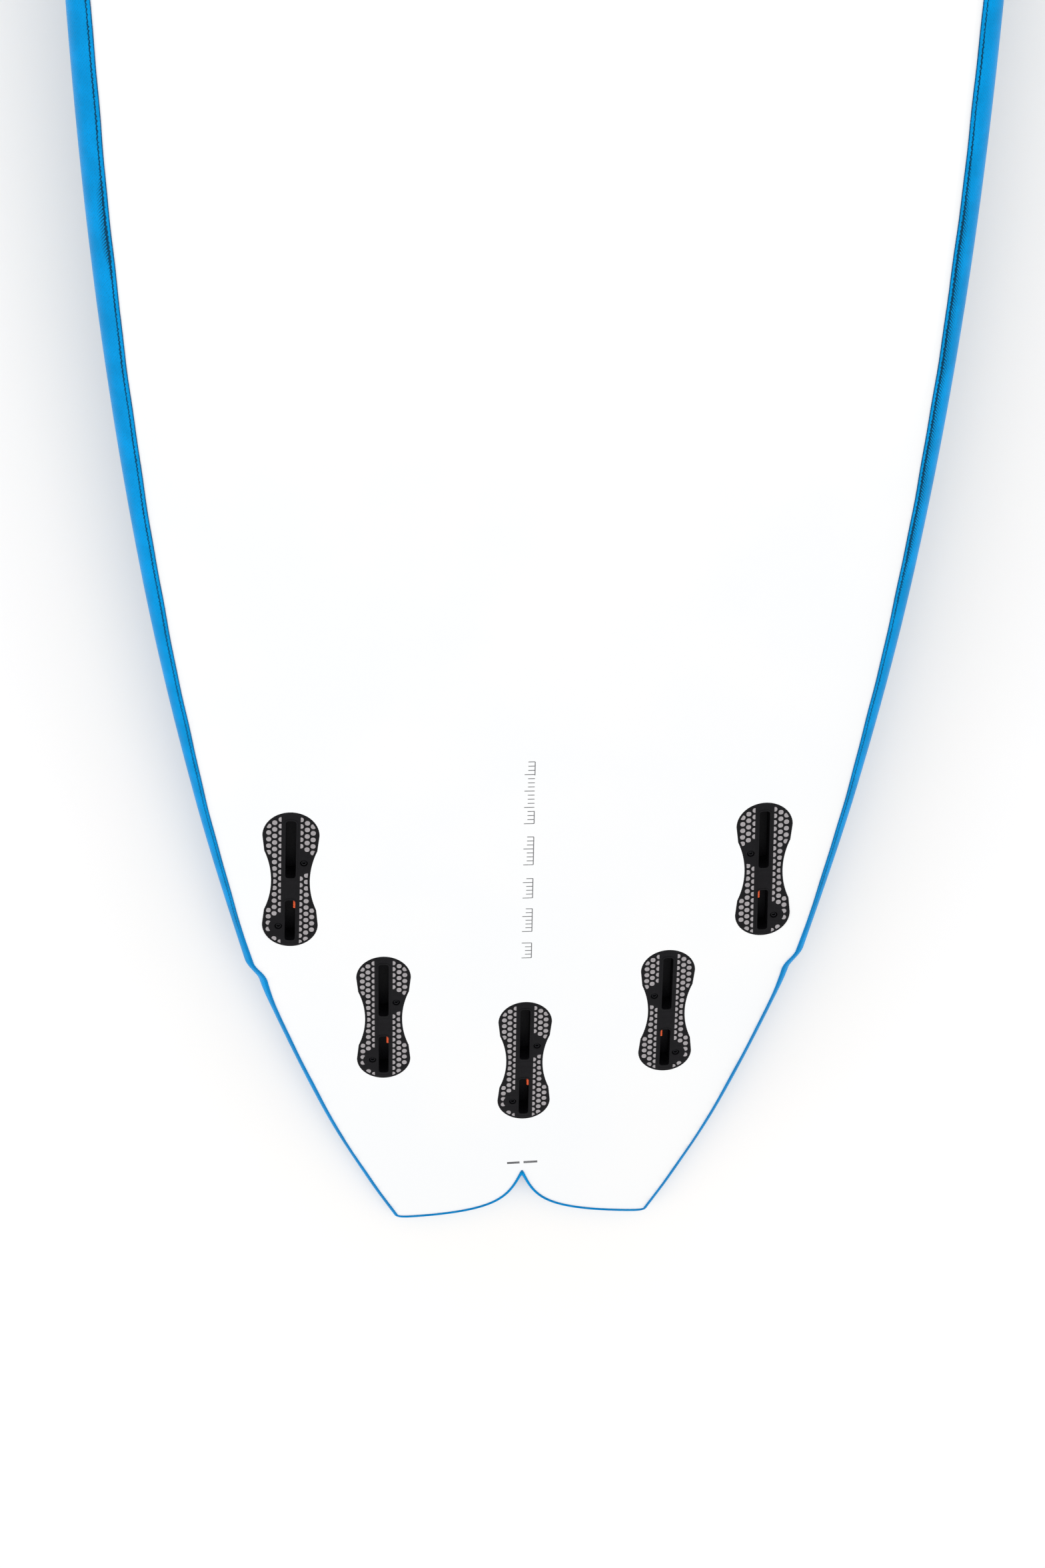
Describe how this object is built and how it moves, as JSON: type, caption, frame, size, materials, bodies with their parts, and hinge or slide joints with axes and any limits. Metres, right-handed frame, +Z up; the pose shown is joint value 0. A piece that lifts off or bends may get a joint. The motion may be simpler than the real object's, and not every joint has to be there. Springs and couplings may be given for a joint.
{
  "type": "shortboard surfboard",
  "caption": "Swallow-tail shortboard lying on its deck, white with coloured fibre rails, two-slot fin plugs in the tail and a leash plug under it.",
  "frame": {"origin": "middle of the board's footprint, on the surface it lies on", "axes": "+Y from the tail to the nose, +Z up out of the fin side, +X to the right as seen from the fin side with the nose up"},
  "size_m": [0.5398, 1.8032, 0.1022],
  "materials": {
    "white_laminate": "clear-coated white glass laminate, glossy",
    "blue_rail_fibre": "sky-blue woven fibre under clear resin, glossy",
    "foam": "shaped expanded foam, matte",
    "black_plug": "black glass-filled nylon, satin",
    "cured_resin": "cured epoxy with filler, smooth",
    "screw_steel": "stainless steel, dull",
    "orange_latch": "orange moulded plastic",
    "spring_steel": "bright spring wire"
  },
  "bodies": {
    "board": {"foam_core": "foam", "bottom_laminate": "white_laminate", "deck_laminate": "white_laminate", "rail_wrap_left": "blue_rail_fibre", "rail_wrap_right": "blue_rail_fibre", "left_front_plug_body": "black_plug", "left_front_resin_bed": "cured_resin", "left_front_latch_spring": "spring_steel", "right_front_plug_body": "black_plug", "right_front_resin_bed": "cured_resin", "right_front_latch_spring": "spring_steel", "left_rear_plug_body": "black_plug", "left_rear_resin_bed": "cured_resin", "left_rear_latch_spring": "spring_steel", "right_rear_plug_body": "black_plug", "right_rear_resin_bed": "cured_resin", "right_rear_latch_spring": "spring_steel", "centre_plug_body": "black_plug", "centre_resin_bed": "cured_resin", "centre_latch_spring": "spring_steel", "leash_plug_cup": "black_plug", "leash_plug_pin": "screw_steel"},
    "left_front_front_screw": {"left_front_front_screw": "screw_steel"},
    "left_front_rear_screw": {"left_front_rear_screw": "screw_steel"},
    "left_front_latch": {"left_front_latch": "orange_latch"},
    "right_front_front_screw": {"right_front_front_screw": "screw_steel"},
    "right_front_rear_screw": {"right_front_rear_screw": "screw_steel"},
    "right_front_latch": {"right_front_latch": "orange_latch"},
    "left_rear_front_screw": {"left_rear_front_screw": "screw_steel"},
    "left_rear_rear_screw": {"left_rear_rear_screw": "screw_steel"},
    "left_rear_latch": {"left_rear_latch": "orange_latch"},
    "right_rear_front_screw": {"right_rear_front_screw": "screw_steel"},
    "right_rear_rear_screw": {"right_rear_rear_screw": "screw_steel"},
    "right_rear_latch": {"right_rear_latch": "orange_latch"},
    "centre_front_screw": {"centre_front_screw": "screw_steel"},
    "centre_rear_screw": {"centre_rear_screw": "screw_steel"},
    "centre_latch": {"centre_latch": "orange_latch"}
  },
  "joints": [
    {"name": "left_front_front_screw_travel", "type": "slide", "parent": "board", "child": "left_front_front_screw", "axis": [0, -0.1138, 0.9935], "range_m": [0, 0.003]},
    {"name": "left_front_rear_screw_travel", "type": "slide", "parent": "board", "child": "left_front_rear_screw", "axis": [0, -0.1138, 0.9935], "range_m": [0, 0.003]},
    {"name": "left_front_latch_press", "type": "slide", "parent": "board", "child": "left_front_latch", "axis": [0.9988, -0.0485, -0.0056], "range_m": [0, 0.0013], "stiffness_N_per_m": 1500},
    {"name": "right_front_front_screw_travel", "type": "slide", "parent": "board", "child": "right_front_front_screw", "axis": [0, -0.1138, 0.9935], "range_m": [0, 0.003]},
    {"name": "right_front_rear_screw_travel", "type": "slide", "parent": "board", "child": "right_front_rear_screw", "axis": [0, -0.1138, 0.9935], "range_m": [0, 0.003]},
    {"name": "right_front_latch_press", "type": "slide", "parent": "board", "child": "right_front_latch", "axis": [-0.9988, -0.0485, -0.0056], "range_m": [0, 0.0013], "stiffness_N_per_m": 1500},
    {"name": "left_rear_front_screw_travel", "type": "slide", "parent": "board", "child": "left_rear_front_screw", "axis": [0, -0.1323, 0.9912], "range_m": [0, 0.003]},
    {"name": "left_rear_rear_screw_travel", "type": "slide", "parent": "board", "child": "left_rear_rear_screw", "axis": [0, -0.1323, 0.9912], "range_m": [0, 0.003]},
    {"name": "left_rear_latch_press", "type": "slide", "parent": "board", "child": "left_rear_latch", "axis": [0.9999, -0.0164, -0.0022], "range_m": [0, 0.0013], "stiffness_N_per_m": 1500},
    {"name": "right_rear_front_screw_travel", "type": "slide", "parent": "board", "child": "right_rear_front_screw", "axis": [0, -0.1323, 0.9912], "range_m": [0, 0.003]},
    {"name": "right_rear_rear_screw_travel", "type": "slide", "parent": "board", "child": "right_rear_rear_screw", "axis": [0, -0.1323, 0.9912], "range_m": [0, 0.003]},
    {"name": "right_rear_latch_press", "type": "slide", "parent": "board", "child": "right_rear_latch", "axis": [-0.9999, -0.0164, -0.0022], "range_m": [0, 0.0013], "stiffness_N_per_m": 1500},
    {"name": "centre_front_screw_travel", "type": "slide", "parent": "board", "child": "centre_front_screw", "axis": [0, -0.1389, 0.9903], "range_m": [0, 0.003]},
    {"name": "centre_rear_screw_travel", "type": "slide", "parent": "board", "child": "centre_rear_screw", "axis": [0, -0.1389, 0.9903], "range_m": [0, 0.003]},
    {"name": "centre_latch_press", "type": "slide", "parent": "board", "child": "centre_latch", "axis": [1, 0, 0], "range_m": [0, 0.0013], "stiffness_N_per_m": 1500}
  ]
}
